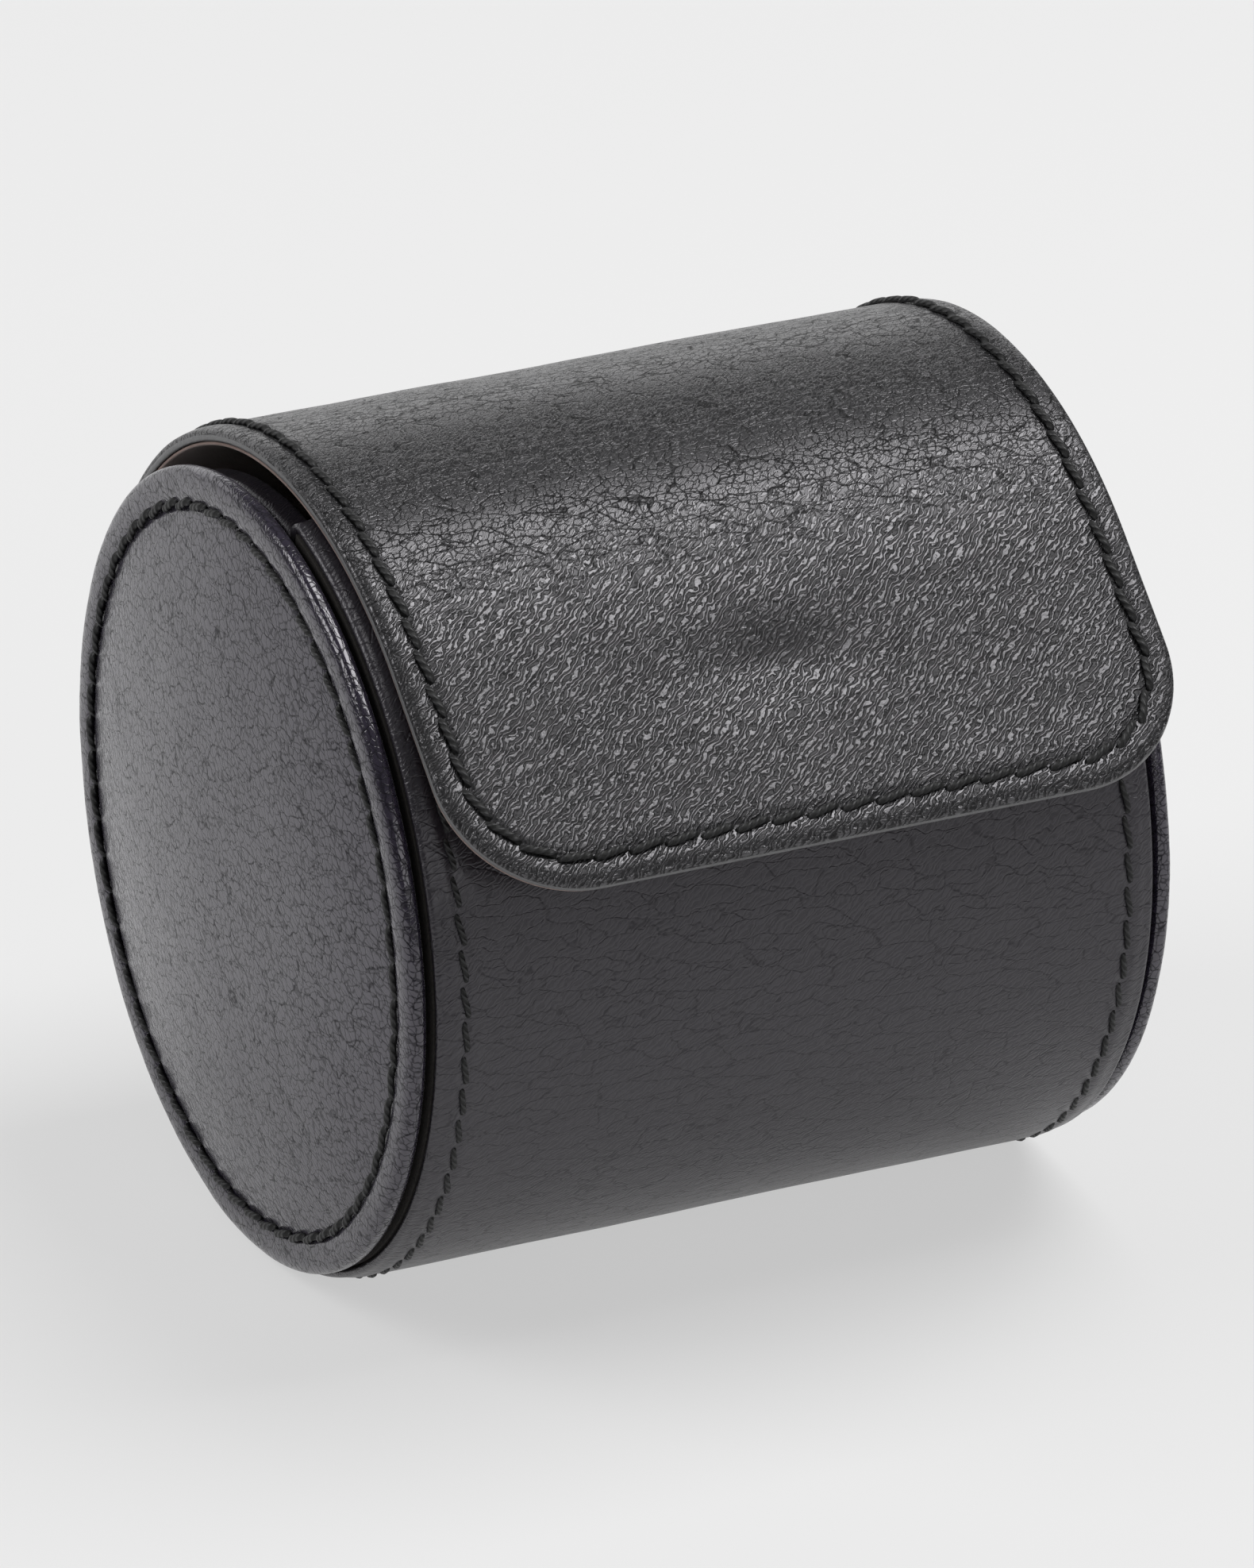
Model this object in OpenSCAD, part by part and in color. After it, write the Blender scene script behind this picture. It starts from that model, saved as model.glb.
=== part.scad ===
// Single watch roll: a leather-covered cylinder that lies on its side and opens with a flap.
// The origin is the middle of the flat that it rests on. X runs along the roll and the front is -Y.
// Angles round the roll start at the top and grow toward the back, so the front is negative.

/* [Case wall] */
// Outer radius of the leather wrap
wrap_radius = 40; // [38:0.5:46]
// Length of the leather wrap along the roll
wrap_length = 74.6; // [73:0.2:90]
// Thickness of the wrap's leather
wrap_leather = 1.2; // [1:0.1:1.6]
// Thickness of the wall's board
wall_board = 2; // [1.5:0.1:2.6]
// Thickness of the lining in the bore
wall_lining = 0.7; // [0.5:0.1:1]
// Angle of the front lip, in front of the top
lip_angle = 11; // [6:1:18]
// Angle of the wall's back edge, behind the top
back_edge_angle = 116; // [112:1:120]
// Depth of the flat that the roll rests on
rest_depth = 0.5; // [0.3:0.1:0.7]

/* [End discs] */
// How far the disc's rim lies inside the wrap's surface
disc_setback = 1; // [0.8:0.1:2]
// Width of the groove between the wrap's edge and the disc
disc_groove = 0.4; // [0.3:0.1:1]
// Thickness of the board in the disc
disc_board = 0.6; // [0.6:0.1:1.4]
// Thickness of the disc's leather at its face
disc_leather = 1; // [1:0.1:1.6]
// Thickness of the leather turned in behind the disc
disc_turn_in = 0.45; // [0.4:0.05:0.8]
// Width of the leather turned in behind the disc
turn_in_width = 6; // [4:0.5:9]
// Distance of the stitch ring from the disc's rim
ring_inset = 3.6; // [3.2:0.1:5]
// Rise of the padded face above the rim
pad_rise = 2.6; // [0.5:0.1:3.5]
// Thickness of the leather over the padding
pad_leather = 0.7; // [0.5:0.1:0.9]
// Thickness of the plug that closes the bore
plug_thickness = 3.2; // [2.4:0.1:4]
// Thickness of the lining on the plug
plug_lining = 0.6; // [0.4:0.1:1]
// Thickness of the leather over the plug's edge
binding_leather = 1.2; // [0.8:0.1:1.6]

/* [Flap] */
// Width of the flap along the roll
flap_width = 75.8; // [70:0.2:80]
// How far the flap lies to the right of the middle
flap_shift = 1.95; // [-2.5:0.05:2.5]
// How far the flap's straight front reaches past the middle of the magnets
flap_front_length = 24.3; // [21:0.1:27]
// Radius of the flap's front corners
flap_corner = 12.8; // [8:0.2:16]
// Thickness of the flap's lining
flap_lining_thickness = 0.4; // [0.3:0.05:0.6]
// Thickness of the flap's leather
flap_leather = 1.3; // [1.2:0.1:1.8]
// Thickness of the flap's stiffener
flap_board_thickness = 0.5; // [0.3:0.05:0.6]
// Distance of the stiffener from the flap's edges
flap_board_inset = 5.5; // [4.5:0.5:9]
// Angle of the stitch row across the flap, behind the top
cross_seam_angle = 77; // [70:1:88]

/* [Hinge] */
// Angle where the free hinge leather starts, behind the top
hinge_start_angle = 98; // [96:0.5:99]
// Angle where the free hinge leather ends, behind the top
hinge_end_angle = 106.5; // [105:0.5:108]
// Angle where the sewn tail ends, behind the top
tail_end_angle = 132; // [126:1:140]

/* [Closure] */
// Angle of the magnets' middle, in front of the top, where the flap leaves the roll and goes on straight
magnet_angle = 42; // [36:1:46]
// Size of the magnets along the roll
magnet_width = 20; // [12:1:30]
// Size of the magnets round the roll
magnet_height = 12; // [8:1:16]
// Thickness of the magnets
magnet_thickness = 0.6; // [0.4:0.05:0.7]

/* [Stitching] */
// Diameter of the thread
thread_diameter = 0.7; // [0.5:0.05:0.75]
// Distance of the stitch rows from the edges
stitch_inset = 2.8; // [2.6:0.1:3.4]

/* [Watch cushion] */
// Radius of the cushion at its crown
cushion_radius = 26; // [22:0.5:27]
// How far the sleeve is drawn in at its ends
cushion_draw = 1.8; // [1:0.1:3]
// Thickness of the cushion's cover
cushion_cover_thickness = 1; // [0.6:0.1:1.6]
// Rise of the cushion's padded ends
cushion_end_rise = 1.4; // [0.6:0.1:1.8]
// Diameter of the corded seams
cushion_seam_diameter = 1.5; // [1:0.1:2]

/* [Clearances] */
// Gap of a glued joint
glue_gap = 0.05; // [0.03:0.01:0.08]
// Gap between the wrap and the closed flap
flap_clearance = 0.3; // [0.3:0.05:0.6]
// Gap between the cushion and the lining that it lies on
cushion_clearance = 0.3; // [0.2:0.05:0.5]
// Gap between each end of the cushion and the lining beside it
cushion_end_clearance = 1.9; // [1:0.1:6]
// Gap between a thread and the bottom of its channel
thread_seat = 0.05; // [0.04:0.01:0.08]
// Gap between a thread and each side of its channel
thread_side = 0.1; // [0.05:0.05:0.3]
// Leather left standing between the channels that meet at a corner
corner_web = 0.4; // [0.3:0.1:1]

/* [Hidden] */
$fn = 96;
// Straight steps that follow a crowned section from its middle to its edge
crown_steps = 8;
// How far a cutter reaches past the face that it opens
cut_past = 1;
// How far a corner's round stands past the flap's side, so that the two meet at a clean edge
corner_past = 0.05;

// Radii of the wall's layers
cover_in = wrap_radius - wrap_leather;
shell_out = cover_in - glue_gap;
shell_in = shell_out - wall_board;
lining_out = shell_in - glue_gap;
lining_in = lining_out - wall_lining;
axis_height = wrap_radius - rest_depth;

// Ends of the wall's layers round the roll
wall_start = back_edge_angle;
wall_end = 360 - lip_angle;
turned_edge = degrees_of(wrap_leather, wrap_radius);
glue_angle = degrees_of(glue_gap, shell_in);

// Places along the roll
wrap_half = wrap_length / 2;
disc_back = wrap_half + disc_groove;
plug_back = disc_back - plug_thickness;
plug_radius = shell_in - glue_gap;
lining_half = plug_back - glue_gap;
end_lining_face = lining_half - plug_lining;
wrap_row = wrap_half - stitch_inset;

// Section of an end disc, measured from its back face
disc_radius = wrap_radius - disc_setback;
board_top = disc_turn_in + disc_board;
disc_thickness = board_top + disc_leather;
rim_round = disc_thickness / 2;
board_radius = disc_radius - rim_round;
ring_radius = disc_radius - ring_inset;

// Channels that the stitches lie in
channel_width = thread_diameter + 2 * thread_side;
channel_depth = thread_diameter + thread_seat;
thread_depth = thread_diameter / 2;

// Padding of an end disc, inside the stitch ring
pad_radius = ring_radius - channel_width;

// Radii of the flap's layers
flap_in = wrap_radius + flap_clearance;
flap_cover_in = flap_in + flap_lining_thickness + glue_gap;
flap_out = flap_cover_in + flap_leather;
tail_in = wrap_radius + glue_gap;

// Outline of the flap
flap_left = flap_shift - flap_width / 2;
flap_right = flap_shift + flap_width / 2;
flap_bend = -magnet_angle;
corner_centre = flap_corner - flap_front_length;
row_front = stitch_inset - flap_front_length;
row_corner = flap_corner - stitch_inset;
web_angle = degrees_of(corner_web, row_corner);
board_back = cross_seam_angle - degrees_of(channel_width, flap_out);
tail_seam_angle = tail_end_angle - degrees_of(stitch_inset, flap_out);

// The watch cushion
cushion_end_start = end_lining_face - cushion_end_clearance - cushion_end_rise - cushion_cover_thickness;
cushion_half = cushion_end_start - glue_gap;
cushion_height = axis_height - lining_in + cushion_clearance + cushion_radius;
seam_ring = cushion_radius - cushion_draw - cushion_seam_diameter / 2;
cushion_end_radius = seam_ring - cushion_seam_diameter / 2 - glue_gap;

leather_colour = [0.27, 0.27, 0.29];
suede_colour = [0.36, 0.27, 0.23];
board_colour = [0.55, 0.5, 0.43];
foam_colour = [0.8, 0.78, 0.7];
thread_colour = [0.05, 0.05, 0.06];
magnet_colour = [0.2, 0.19, 0.19];

// Place along the roll of a front corner's centre
function corner_place(side) = flap_shift + side * (flap_width / 2 - flap_corner + corner_past);
// Place along the roll of the flap's stitch row on one side
function row_place(side) = corner_place(side) + side * row_corner;
// Angle that a length takes up on a circle
function degrees_of(length, radius) = length / radius * 180 / PI;
// Radius of the arc that rises by a given amount over a half chord
function crown_radius(half_chord, rise) = (half_chord * half_chord + rise * rise) / (2 * rise);
// Height of that arc above its chord, at a distance from its middle
function crown_height(half_chord, rise, from_middle) =
    let (radius = crown_radius(half_chord, rise))
    sqrt(radius * radius - from_middle * from_middle) - radius + rise;

// A sheet bent round the roll
module wall_arc(r_in, r_out, x_from, x_to, angle_from, angle_to) {
    translate([0, 0, axis_height])
        rotate([0, -90, 0])
            rotate([0, 0, angle_from])
                rotate_extrude(angle = angle_to - angle_from)
                    translate([r_in, -x_to])
                        square([r_out - r_in, x_to - x_from]);
}

// A place on the roll: local X points outward, local Y round the roll and local Z along -X
module on_wall(x, angle, radius) {
    translate([0, 0, axis_height])
        rotate([0, -90, 0])
            rotate([0, 0, angle])
                translate([radius, 0, -x])
                    children();
}

// A place on the flap's straight front: local X along the roll, local Y up from the front edge and local Z
// outward, with the bend at Y = 0 and the roll's axis at Z = 0
module on_front(x, y, height) {
    on_wall(x, flap_bend, 0)
        rotate([0, 90, 0])
            translate([0, y, height])
                children();
}

// A section turned about the roll's axis, measured outward along X on one side
module turned(side) {
    translate([0, 0, axis_height])
        rotate([0, side * 90, 0])
            rotate_extrude()
                children();
}

// A section turned about the cushion's axis
module cushion_turned(side) {
    translate([0, 0, cushion_height])
        rotate([0, side * 90, 0])
            rotate_extrude()
                children();
}

// Everything below the surface that the roll rests on
module below_rest() {
    side = 4 * wrap_radius + wrap_length;
    translate([-side / 2, -side / 2, -side])
        cube(side);
}

// The thread of a row round the roll, sunk flush with a surface
module round_thread(x, angle_from, angle_to, surface) {
    translate([0, 0, axis_height])
        rotate([0, -90, 0])
            rotate([0, 0, angle_from])
                rotate_extrude(angle = angle_to - angle_from)
                    translate([surface - thread_depth, -x])
                        circle(d = thread_diameter);
}

// The thread of a row along the roll, sunk flush with a surface
module straight_thread(x_from, x_to, angle, surface) {
    on_wall(x_to, angle, surface - thread_depth)
        cylinder(h = x_to - x_from, d = thread_diameter);
}

// A channel for a row round the roll
module round_channel(x, angle_from, angle_to, surface) {
    wall_arc(surface - channel_depth, surface + cut_past, x - channel_width / 2, x + channel_width / 2,
        angle_from, angle_to);
}

// A channel for a row along the roll
module straight_channel(x_from, x_to, angle, surface) {
    half = degrees_of(channel_width / 2, surface);
    wall_arc(surface - channel_depth, surface + cut_past, x_from, x_to, angle - half, angle + half);
}

// The shell's share of the wall, between the edges that the wrap turns over
module body_shell() {
    color(board_colour)
        difference() {
            wall_arc(shell_in, shell_out, -wrap_half, wrap_half,
                wall_start + turned_edge + glue_angle, wall_end - turned_edge - glue_angle);
            magnet_patch(shell_out - magnet_thickness - 2 * glue_gap, shell_out + cut_past, glue_gap);
        }
}

// The wrap, turned over the lip and the back edge, with a channel for each row and flat where it rests
module body_cover() {
    color(leather_colour)
        difference() {
            wall_arc(shell_in, wrap_radius, -wrap_half, wrap_half, wall_start, wall_end);
            wall_arc(shell_in - cut_past, cover_in, -wrap_half - cut_past, wrap_half + cut_past,
                wall_start + turned_edge, wall_end - turned_edge);
            for (x = [-wrap_row, wrap_row])
                round_channel(x, wall_start - cut_past, wall_end + cut_past, wrap_radius);
            below_rest();
        }
}

module body_lining() {
    color(suede_colour)
        wall_arc(lining_in, lining_out, -lining_half, lining_half, wall_start, wall_end);
}

// Disc of board that closes the bore
module end_plug(side) {
    color(board_colour)
        turned(side)
            translate([0, plug_back])
                square([plug_radius, plug_thickness]);
}

module end_lining(side) {
    color(suede_colour)
        turned(side)
            translate([0, end_lining_face])
                square([lining_in - glue_gap, plug_lining]);
}

// Leather strip over the plug's edge, in the open part of the wall
module end_binding(side) {
    binding_in = plug_radius + glue_gap;
    near = side > 0 ? plug_back : -wrap_half;
    far = side > 0 ? wrap_half : -plug_back;
    color(leather_colour)
        wall_arc(binding_in, binding_in + binding_leather, near, far,
            glue_angle - lip_angle, back_edge_angle - glue_angle);
}

// Outline of a whole end disc with its rolled rim and padded face
module disc_section() {
    square([board_radius, disc_thickness]);
    translate([board_radius, rim_round])
        circle(r = rim_round);
    crowned_section(pad_radius, pad_rise, board_top, disc_thickness);
}

// A section with a flat floor and a crowned top that starts at a given height at its edge
module crowned_section(radius, rise, floor_height, edge_height) {
    polygon([
        [0, floor_height],
        [radius, floor_height],
        for (i = [crown_steps : -1 : 0])
            let (r = radius * i / crown_steps)
            [r, edge_height + crown_height(radius, rise, r)]
    ]);
}

module end_board(side) {
    color(board_colour)
        turned(side)
            translate([0, disc_back + disc_turn_in + glue_gap])
                square([board_radius - glue_gap, disc_board - 2 * glue_gap]);
}

module end_padding(side) {
    color(foam_colour)
        turned(side)
            translate([0, disc_back])
                crowned_section(pad_radius - glue_gap, pad_rise, board_top,
                    disc_thickness - pad_leather - glue_gap);
}

module end_cover(side) {
    color(leather_colour)
        turned(side)
            translate([0, disc_back])
                difference() {
                    disc_section();
                    crowned_section(pad_radius, pad_rise, board_top - glue_gap, disc_thickness - pad_leather);
                    translate([0, disc_turn_in])
                        square([board_radius, disc_board]);
                    translate([0, -cut_past])
                        square([board_radius - turn_in_width, cut_past + disc_turn_in + glue_gap]);
                    translate([ring_radius - channel_width / 2, disc_thickness - channel_depth])
                        square([channel_width, channel_depth + cut_past]);
                }
}

module end_stitching(side) {
    color(thread_colour)
        turned(side)
            translate([ring_radius, disc_back + disc_thickness - thread_depth])
                circle(d = thread_diameter);
}

module body_stitching(side) {
    color(thread_colour)
        difference() {
            round_thread(side * wrap_row, wall_start, wall_end, wrap_radius);
            below_rest();
        }
}

// The outline of the wall's magnet, grown by a gap
module magnet_patch(r_in, r_out, gap) {
    half_angle = degrees_of(magnet_height / 2 + gap, wrap_radius);
    half_width = magnet_width / 2 + gap;
    wall_arc(r_in, r_out, -half_width, half_width,
        360 - magnet_angle - half_angle, 360 - magnet_angle + half_angle);
}

module front_magnet() {
    color(magnet_colour)
        magnet_patch(shell_out - magnet_thickness - glue_gap, shell_out - glue_gap, 0);
}

// The square between a front corner's centre and the corner itself
module corner_quadrant(side, size) {
    translate([side > 0 ? 0 : -size, -size])
        square(size);
}

// A disc about a front corner's centre, turned so that its start lies clear of both quadrants
module corner_disc(radius) {
    rotate(45)
        circle(r = radius);
}

// What is cut off a sheet to round the flap's two front corners
module corner_cuts(r_in, r_out) {
    for (side = [-1, 1])
        on_front(corner_place(side), corner_centre, r_in - cut_past)
            linear_extrude(r_out - r_in + 2 * cut_past)
                difference() {
                    corner_quadrant(side, flap_corner + cut_past);
                    corner_disc(flap_corner);
                }
}

// A sheet that is bent round the roll behind the magnets and runs straight for a length in front of their middle
module flap_layer(r_in, r_out, x_from, x_to, front_length, angle_to) {
    wall_arc(r_in, r_out, x_from, x_to, flap_bend, angle_to);
    on_front(x_from, -front_length, r_in)
        cube([x_to - x_from, front_length, r_out - r_in]);
}

// A layer of the flap with its round corners
module flap_sheet(r_in, r_out, angle_to) {
    difference() {
        flap_layer(r_in, r_out, flap_left, flap_right, flap_front_length, angle_to);
        corner_cuts(r_in, r_out);
    }
}

// A section swept round a front corner of the flap, drawn from the middle of its thread
module corner_sweep(side, web) {
    span = 90 - 2 * web;
    on_front(corner_place(side), corner_centre, flap_out - thread_depth)
        rotate([0, 0, side > 0 ? web - 90 : web - 180])
            rotate_extrude(angle = span)
                translate([row_corner, 0])
                    children();
}

// The channel of the flap's stitches round one front corner
module corner_channel(side) {
    corner_sweep(side, web_angle)
        translate([-channel_width / 2, -thread_depth - thread_seat])
            square([channel_width, channel_depth + cut_past]);
}

// The flap's stitches round one front corner
module corner_thread(side) {
    corner_sweep(side, 2 * web_angle)
        circle(d = thread_diameter);
}

// A channel for a straight row on the flap's front
module front_channel(x, y, width, length) {
    on_front(x, y, flap_out - channel_depth)
        cube([width, length, channel_depth + cut_past]);
}

// The thread of a straight row on the flap's front, turned from the direction along the roll
module front_thread(x, y, turn, length) {
    on_front(x, y, flap_out - thread_depth)
        rotate([0, 0, turn])
            rotate([0, 90, 0])
                cylinder(h = length, d = thread_diameter);
}

// The stiffener's outline, grown by a gap
module flap_board_sheet(r_in, r_out, gap) {
    gap_angle = degrees_of(gap, flap_out);
    flap_layer(r_in, r_out, flap_left + flap_board_inset - gap, flap_right - flap_board_inset + gap,
        flap_front_length - flap_board_inset + gap, board_back + gap_angle);
}

// The outline of the flap's magnet, grown by a gap
module flap_magnet_sheet(r_in, r_out, gap) {
    half_width = magnet_width / 2 + gap;
    half_height = magnet_height / 2 + gap;
    flap_layer(r_in, r_out, flap_shift - half_width, flap_shift + half_width, half_height,
        flap_bend + degrees_of(half_height, wrap_radius));
}

module flap_cover() {
    color(leather_colour)
        difference() {
            flap_sheet(flap_cover_in, flap_out, hinge_start_angle);
            flap_board_sheet(flap_cover_in - cut_past, flap_cover_in + flap_board_thickness + glue_gap, glue_gap);
            flap_magnet_sheet(flap_cover_in - cut_past, flap_cover_in + magnet_thickness + glue_gap, glue_gap);
            for (side = [-1, 1]) {
                round_channel(row_place(side), flap_bend, hinge_start_angle + cut_past, flap_out);
                front_channel(row_place(side) - channel_width / 2, corner_centre + corner_web,
                    channel_width, -corner_centre - corner_web);
                corner_channel(side);
            }
            front_channel(corner_place(-1) + corner_web, row_front - channel_width / 2,
                corner_place(1) - corner_place(-1) - 2 * corner_web, channel_width);
            straight_channel(row_place(-1), row_place(1), cross_seam_angle, flap_out);
        }
}

module flap_board() {
    color(board_colour)
        difference() {
            flap_board_sheet(flap_cover_in, flap_cover_in + flap_board_thickness, 0);
            flap_magnet_sheet(flap_in, flap_out, glue_gap);
        }
}

module flap_lining() {
    color(suede_colour)
        flap_sheet(flap_in, flap_in + flap_lining_thickness, hinge_start_angle);
}

module flap_magnet() {
    color(magnet_colour)
        flap_magnet_sheet(flap_cover_in, flap_cover_in + magnet_thickness, 0);
}

module flap_stitching() {
    color(thread_colour) {
        for (side = [-1, 1]) {
            round_thread(row_place(side), flap_bend + degrees_of(corner_web, flap_out), hinge_start_angle, flap_out);
            front_thread(row_place(side), corner_centre + 2 * corner_web, 90, -corner_centre - 3 * corner_web);
            corner_thread(side);
        }
        front_thread(corner_place(-1) + 2 * corner_web, row_front, 0,
            corner_place(1) - corner_place(-1) - 4 * corner_web);
    }
}

module flap_cross_seam() {
    color(thread_colour)
        straight_thread(row_place(-1) + channel_width, row_place(1) - channel_width, cross_seam_angle, flap_out);
}

module hinge_leather() {
    color(leather_colour)
        wall_arc(flap_cover_in, flap_out, flap_left, flap_right, hinge_start_angle, hinge_end_angle);
}

module flap_tail() {
    color(leather_colour)
        difference() {
            wall_arc(tail_in, flap_out, flap_left, flap_right, hinge_end_angle, tail_end_angle);
            for (side = [-1, 1])
                round_channel(row_place(side), hinge_end_angle - cut_past, tail_seam_angle, flap_out);
            straight_channel(row_place(-1), row_place(1), tail_seam_angle, flap_out);
        }
}

module tail_stitching() {
    row_end = tail_seam_angle - degrees_of(channel_width, flap_out);
    color(thread_colour) {
        for (side = [-1, 1])
            round_thread(row_place(side), hinge_end_angle, row_end, flap_out);
        straight_thread(row_place(-1), row_place(1), tail_seam_angle, flap_out);
    }
}

// The barrel that the cushion's sleeve follows, shrunk by a thickness and reaching past its ends
module barrel_section(inside, past) {
    edge = cushion_radius - cushion_draw - inside;
    polygon([
        [0, -cushion_half - past],
        [edge, -cushion_half - past],
        for (i = [-crown_steps : crown_steps])
            let (x = cushion_half * i / crown_steps)
            [edge + crown_height(cushion_half, cushion_draw, x), x],
        [edge, cushion_half + past],
        [0, cushion_half + past]
    ]);
}

module cushion_core() {
    color(foam_colour)
        cushion_turned(1)
            barrel_section(cushion_cover_thickness + glue_gap, 0);
}

module cushion_cover() {
    color(suede_colour)
        cushion_turned(1)
            difference() {
                barrel_section(0, 0);
                barrel_section(cushion_cover_thickness, cut_past);
            }
}

// A padded end disc of the cushion
module cushion_end(side) {
    color(suede_colour)
        cushion_turned(side)
            translate([0, cushion_end_start])
                crowned_section(cushion_end_radius, cushion_end_rise, 0, cushion_cover_thickness);
}

module cushion_seam(side) {
    color(suede_colour)
        cushion_turned(side)
            translate([seam_ring, cushion_end_start + cushion_seam_diameter / 2])
                circle(d = cushion_seam_diameter);
}

body_shell();
body_cover();
body_lining();
end_plug(-1);  // left_end_plug
end_plug(1);  // right_end_plug
end_lining(-1);  // left_end_lining
end_lining(1);  // right_end_lining
end_binding(-1);  // left_end_binding
end_binding(1);  // right_end_binding
end_board(-1);  // left_end_board
end_board(1);  // right_end_board
end_padding(-1);  // left_end_padding
end_padding(1);  // right_end_padding
end_cover(-1);  // left_end_cover
end_cover(1);  // right_end_cover
end_stitching(-1);  // left_end_stitching
end_stitching(1);  // right_end_stitching
body_stitching(-1);  // left_body_stitching
body_stitching(1);  // right_body_stitching
front_magnet();
flap_tail();
tail_stitching();
hinge_leather();
flap_cover();
flap_board();
flap_lining();
flap_magnet();
flap_stitching();
flap_cross_seam();
cushion_core();
cushion_cover();
cushion_end(-1);  // cushion_left_end
cushion_end(1);  // cushion_right_end
cushion_seam(-1);  // cushion_left_seam
cushion_seam(1);  // cushion_right_seam
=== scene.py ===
"""The looks of a single-watch roll: leather, suede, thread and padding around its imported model."""

import random
from math import cos, hypot, inf, pi, radians, sin

import bpy
import numpy as np
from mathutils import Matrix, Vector, noise


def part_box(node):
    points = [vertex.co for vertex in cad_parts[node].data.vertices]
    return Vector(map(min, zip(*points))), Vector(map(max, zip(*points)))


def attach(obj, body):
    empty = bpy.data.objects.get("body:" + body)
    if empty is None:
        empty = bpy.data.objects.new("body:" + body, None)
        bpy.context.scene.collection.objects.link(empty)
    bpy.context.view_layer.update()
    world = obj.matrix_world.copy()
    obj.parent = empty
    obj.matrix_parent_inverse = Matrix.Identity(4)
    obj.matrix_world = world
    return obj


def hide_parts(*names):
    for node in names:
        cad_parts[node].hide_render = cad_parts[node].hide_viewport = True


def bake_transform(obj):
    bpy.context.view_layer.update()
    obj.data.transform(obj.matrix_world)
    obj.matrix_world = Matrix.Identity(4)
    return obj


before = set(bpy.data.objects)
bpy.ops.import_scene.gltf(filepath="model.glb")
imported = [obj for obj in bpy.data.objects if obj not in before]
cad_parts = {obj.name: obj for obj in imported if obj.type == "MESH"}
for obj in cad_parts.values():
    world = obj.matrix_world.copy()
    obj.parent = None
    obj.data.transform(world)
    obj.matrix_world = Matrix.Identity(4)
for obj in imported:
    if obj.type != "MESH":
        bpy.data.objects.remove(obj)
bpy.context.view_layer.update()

# Millimetres are the script's own units
MM = 0.001


def node_box(node):
    """Lowest and highest corner of a node, in millimetres."""
    low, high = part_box(node)
    return low / MM, high / MM


# Places and sizes that the frame gives
wrap_low, wrap_high = node_box("body_cover")
disc_low, disc_high = node_box("right_end_cover")
flap_low, flap_high = node_box("flap_cover")
end_lining_low, end_lining_high = node_box("right_end_lining")
binding_low, binding_high = node_box("right_end_binding")
plug_low, plug_high = node_box("right_end_plug")
cushion_low, cushion_high = node_box("cushion_cover")
piping_low, piping_high = node_box("cushion_right_seam")

AXIS_HEIGHT = (disc_low.z + disc_high.z) / 2
WRAP_HALF = wrap_high.x
WRAP_RADIUS = -wrap_low.y
DISC_BACK = disc_low.x
DISC_RADIUS = (disc_high.z - disc_low.z) / 2
DISC_HEIGHT = disc_high.x - disc_low.x
FLAP_RADIUS = flap_high.z - AXIS_HEIGHT
FLAP_MIDDLE = (flap_low.x + flap_high.x) / 2
FLAP_HALF = (flap_high.x - flap_low.x) / 2
PLUG_RADIUS = (plug_high.z - plug_low.z) / 2
CASE_LINING_HALF = node_box("body_lining")[1].x
CUSHION_HEIGHT = (cushion_low.z + cushion_high.z) / 2
CUSHION_RADIUS = (cushion_high.z - cushion_low.z) / 2
CUSHION_END = node_box("cushion_right_end")[1].x
PIPING_RADIUS = (piping_high.x - piping_low.x) / 2
PIPING_PLACE = (piping_low.x + piping_high.x) / 2
PIPING_RING = (piping_high.z - piping_low.z) / 2 - PIPING_RADIUS

# Angles round the roll from its top, in degrees, positive towards the back
FULL_TURN = 360
BACK_EDGE_ANGLE = 116
LIP_ANGLE = 349
FLAP_BEND_ANGLE = -42
CROSS_SEAM_ANGLE = 77
HINGE_START_ANGLE = 98
HINGE_END_ANGLE = 106.5
TAIL_END_ANGLE = 132

# Layers of the wall and the flap, in millimetres
WRAP_LEATHER = 1.2
WALL_BOARD = 2.0
GLUE_GAP = 0.05
LINING_SUEDE = 0.7
FLAP_LEATHER = 1.3
FLAP_SUEDE = 0.4
FLAP_CLEARANCE = 0.3
FLAP_CORNER = 12.8
FLAP_BOARD_INSET = 5.5
FLAP_BOARD = 0.5
MAGNET_THICKNESS = 0.6
MAGNET_HALF_WIDTH = 10
MAGNET_HALF_HEIGHT = 6

# Stitches, in millimetres apart from their slant, taper and flattening
STITCH_INSET = 2.8
STITCH_PITCH = 3.6
STITCH_SLANT = 0.16
THREAD_RADIUS = 0.37
WRAP_THREAD_RADIUS = 0.29
THREAD_RISE = 0.14
THREAD_DIVE = 0.45
THREAD_SWAY = 0.03
THREAD_TAPER = 0.25
THREAD_WIDE = 1.06
THREAD_HIGH = 0.92
SEAM_DEPTH = 0.14
SEAM_WIDTH = 0.5
HOLE_DEPTH = 0.08
HOLE_WIDTH = 0.4

# Spacing of vertices, in millimetres
FINE_STEP = 0.3
SEAM_STEP = 0.32
ROUND_STEP = 0.6
COARSE_STEP = 1.2
WIDE_STEP = 1.5
EDGE_BAND = 5.5
SEAM_BAND = 2.2

SIDES = ((-1, "left"), (1, "right"))
SEED = 7
TINY = 1e-6


# Meshes
def lines(stops, steps):
    """Places from the first stop to the last, about a step apart between each two stops."""
    spans = []
    for start, end, step in zip(stops, stops[1:], steps):
        count = max(1, round((end - start) / step))
        spans.append(np.linspace(start, end, count, endpoint=False))
    return np.concatenate([*spans, [stops[-1]]])


def whole_turn(count):
    """Angles of that many places evenly round a circle."""
    return np.linspace(0, 2 * pi, count, endpoint=False)


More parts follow.
